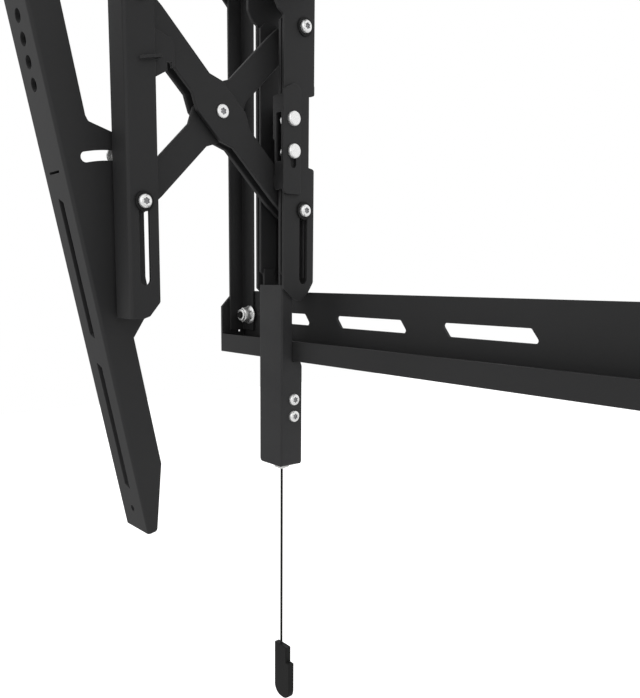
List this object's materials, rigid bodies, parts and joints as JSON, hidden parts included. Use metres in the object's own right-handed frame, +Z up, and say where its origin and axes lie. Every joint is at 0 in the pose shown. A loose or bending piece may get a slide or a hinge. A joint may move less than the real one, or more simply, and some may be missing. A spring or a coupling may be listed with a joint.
{
  "type": "tilting wall bracket",
  "caption": "Pull-out tilting wall bracket for a flat screen: scissor arms hook over a rail frame, fold back under a catch and unlatch with pull cords.",
  "frame": {"origin": "middle of the wall plate's back face, halfway between the rails, in the wall's plane", "axes": "+X along the rails to the right as seen from the room, +Y into the wall, +Z up"},
  "size_m": [0.65, 0.2375, 0.6575],
  "materials": {
    "black_coat": "satin powder coat",
    "zinc": "bright zinc plate",
    "black_ring": "satin black",
    "black_plastic": "fine matt grain",
    "pale_plastic": "smooth, off-white",
    "spring_steel": "bright drawn wire",
    "black_cord": "braided"
  },
  "bodies": {
    "wall_plate": {"bottom_rail": "black_coat", "top_rail": "black_coat", "left_post": "black_coat", "right_post": "black_coat", "post_studs": "zinc", "post_nuts": "zinc"},
    "left_wall_bracket": {"left_wall_channel": "black_coat", "left_inner_channel": "black_coat", "left_wall_pivot_bolt": "zinc", "left_wall_spacers": "black_ring", "left_catch_guide_bolt": "zinc", "left_latch_frame": "black_coat", "left_latch_cover": "black_plastic", "left_cover_screws": "zinc", "left_cord_grommet": "pale_plastic", "left_latch_spring": "spring_steel"},
    "left_inner_arm": {"left_inner_link": "black_coat", "left_centre_rivet": "zinc", "left_inner_link_rings": "black_ring", "left_front_slide_pin": "zinc"},
    "left_outer_arm": {"left_outer_links": "black_coat", "left_wall_slide_pin": "zinc", "left_outer_link_rings": "black_ring"},
    "left_front": {"left_front_channel": "black_coat", "left_front_pivot_bolt": "zinc", "left_front_spacers": "black_ring", "left_tilt_bolts": "zinc"},
    "left_screen_bracket": {"left_tilt_bracket": "black_coat"},
    "left_catch": {"left_catch_plate": "black_coat", "left_catch_bolt": "zinc"},
    "left_latch": {"left_latch_bolt": "zinc", "left_pull_cord": "black_cord", "left_pull_tab": "black_plastic"},
    "right_wall_bracket": {"right_wall_channel": "black_coat", "right_inner_channel": "black_coat", "right_wall_pivot_bolt": "zinc", "right_wall_spacers": "black_ring", "right_catch_guide_bolt": "zinc", "right_latch_frame": "black_coat", "right_latch_cover": "black_plastic", "right_cover_screws": "zinc", "right_cord_grommet": "pale_plastic", "right_latch_spring": "spring_steel"},
    "right_inner_arm": {"right_inner_link": "black_coat", "right_centre_rivet": "zinc", "right_inner_link_rings": "black_ring", "right_front_slide_pin": "zinc"},
    "right_outer_arm": {"right_outer_links": "black_coat", "right_wall_slide_pin": "zinc", "right_outer_link_rings": "black_ring"},
    "right_front": {"right_front_channel": "black_coat", "right_front_pivot_bolt": "zinc", "right_front_spacers": "black_ring", "right_tilt_bolts": "zinc"},
    "right_screen_bracket": {"right_tilt_bracket": "black_coat"},
    "right_catch": {"right_catch_plate": "black_coat", "right_catch_bolt": "zinc"},
    "right_latch": {"right_latch_bolt": "zinc", "right_pull_cord": "black_cord", "right_pull_tab": "black_plastic"}
  },
  "joints": [
    {"name": "left_arm_slide", "type": "slide", "parent": "wall_plate", "child": "left_wall_bracket", "axis": [1, 0, 0], "range_m": [-0.04, 0.12]},
    {"name": "left_scissor", "type": "hinge", "parent": "left_wall_bracket", "child": "left_inner_arm", "pos_m": [-0.243, -0.0158, 0.0766], "axis": [1, 0, 0], "range_deg": [0, 31.7]},
    {"name": "left_link_cross", "type": "hinge", "parent": "left_inner_arm", "child": "left_outer_arm", "pos_m": [-0.243, -0.07979, 0.01261], "axis": [1, 0, 0], "range_deg": [-63.4, 0]},
    {"name": "left_front_level", "type": "hinge", "parent": "left_outer_arm", "child": "left_front", "pos_m": [-0.243, -0.14379, 0.0766], "axis": [1, 0, 0], "range_deg": [0, 31.7]},
    {"name": "left_tilt", "type": "hinge", "parent": "left_front", "child": "left_screen_bracket", "pos_m": [-0.25885, -0.148, -0.11554], "axis": [1, 0, 0], "range_deg": [-13.6, 0]},
    {"name": "left_catch_slide", "type": "slide", "parent": "left_wall_bracket", "child": "left_catch", "axis": [0, 0, 1], "range_m": [0, 0.008]},
    {"name": "left_latch_pull", "type": "slide", "parent": "left_wall_bracket", "child": "left_latch", "axis": [0, 0, 1], "range_m": [-0.009, 0], "stiffness_N_per_m": 600, "springref_m": 0.008, "deforming": ["left_latch_spring"]},
    {"name": "right_arm_slide", "type": "slide", "parent": "wall_plate", "child": "right_wall_bracket", "axis": [-1, 0, 0], "range_m": [-0.04, 0.12]},
    {"name": "right_scissor", "type": "hinge", "parent": "right_wall_bracket", "child": "right_inner_arm", "pos_m": [0.243, -0.0158, 0.0766], "axis": [1, 0, 0], "range_deg": [0, 31.7]},
    {"name": "right_link_cross", "type": "hinge", "parent": "right_inner_arm", "child": "right_outer_arm", "pos_m": [0.243, -0.07979, 0.01261], "axis": [1, 0, 0], "range_deg": [-63.4, 0]},
    {"name": "right_front_level", "type": "hinge", "parent": "right_outer_arm", "child": "right_front", "pos_m": [0.243, -0.14379, 0.0766], "axis": [1, 0, 0], "range_deg": [0, 31.7]},
    {"name": "right_tilt", "type": "hinge", "parent": "right_front", "child": "right_screen_bracket", "pos_m": [0.25885, -0.148, -0.11554], "axis": [1, 0, 0], "range_deg": [-13.6, 0]},
    {"name": "right_catch_slide", "type": "slide", "parent": "right_wall_bracket", "child": "right_catch", "axis": [0, 0, 1], "range_m": [0, 0.008]},
    {"name": "right_latch_pull", "type": "slide", "parent": "right_wall_bracket", "child": "right_latch", "axis": [0, 0, 1], "range_m": [-0.009, 0], "stiffness_N_per_m": 600, "springref_m": 0.008, "deforming": ["right_latch_spring"]}
  ],
  "couplings": [
    {"joint": "left_link_cross", "follows": "left_scissor", "ratio": -2},
    {"joint": "left_front_level", "follows": "left_scissor", "ratio": 1},
    {"joint": "right_link_cross", "follows": "right_scissor", "ratio": -2},
    {"joint": "right_front_level", "follows": "right_scissor", "ratio": 1}
  ]
}
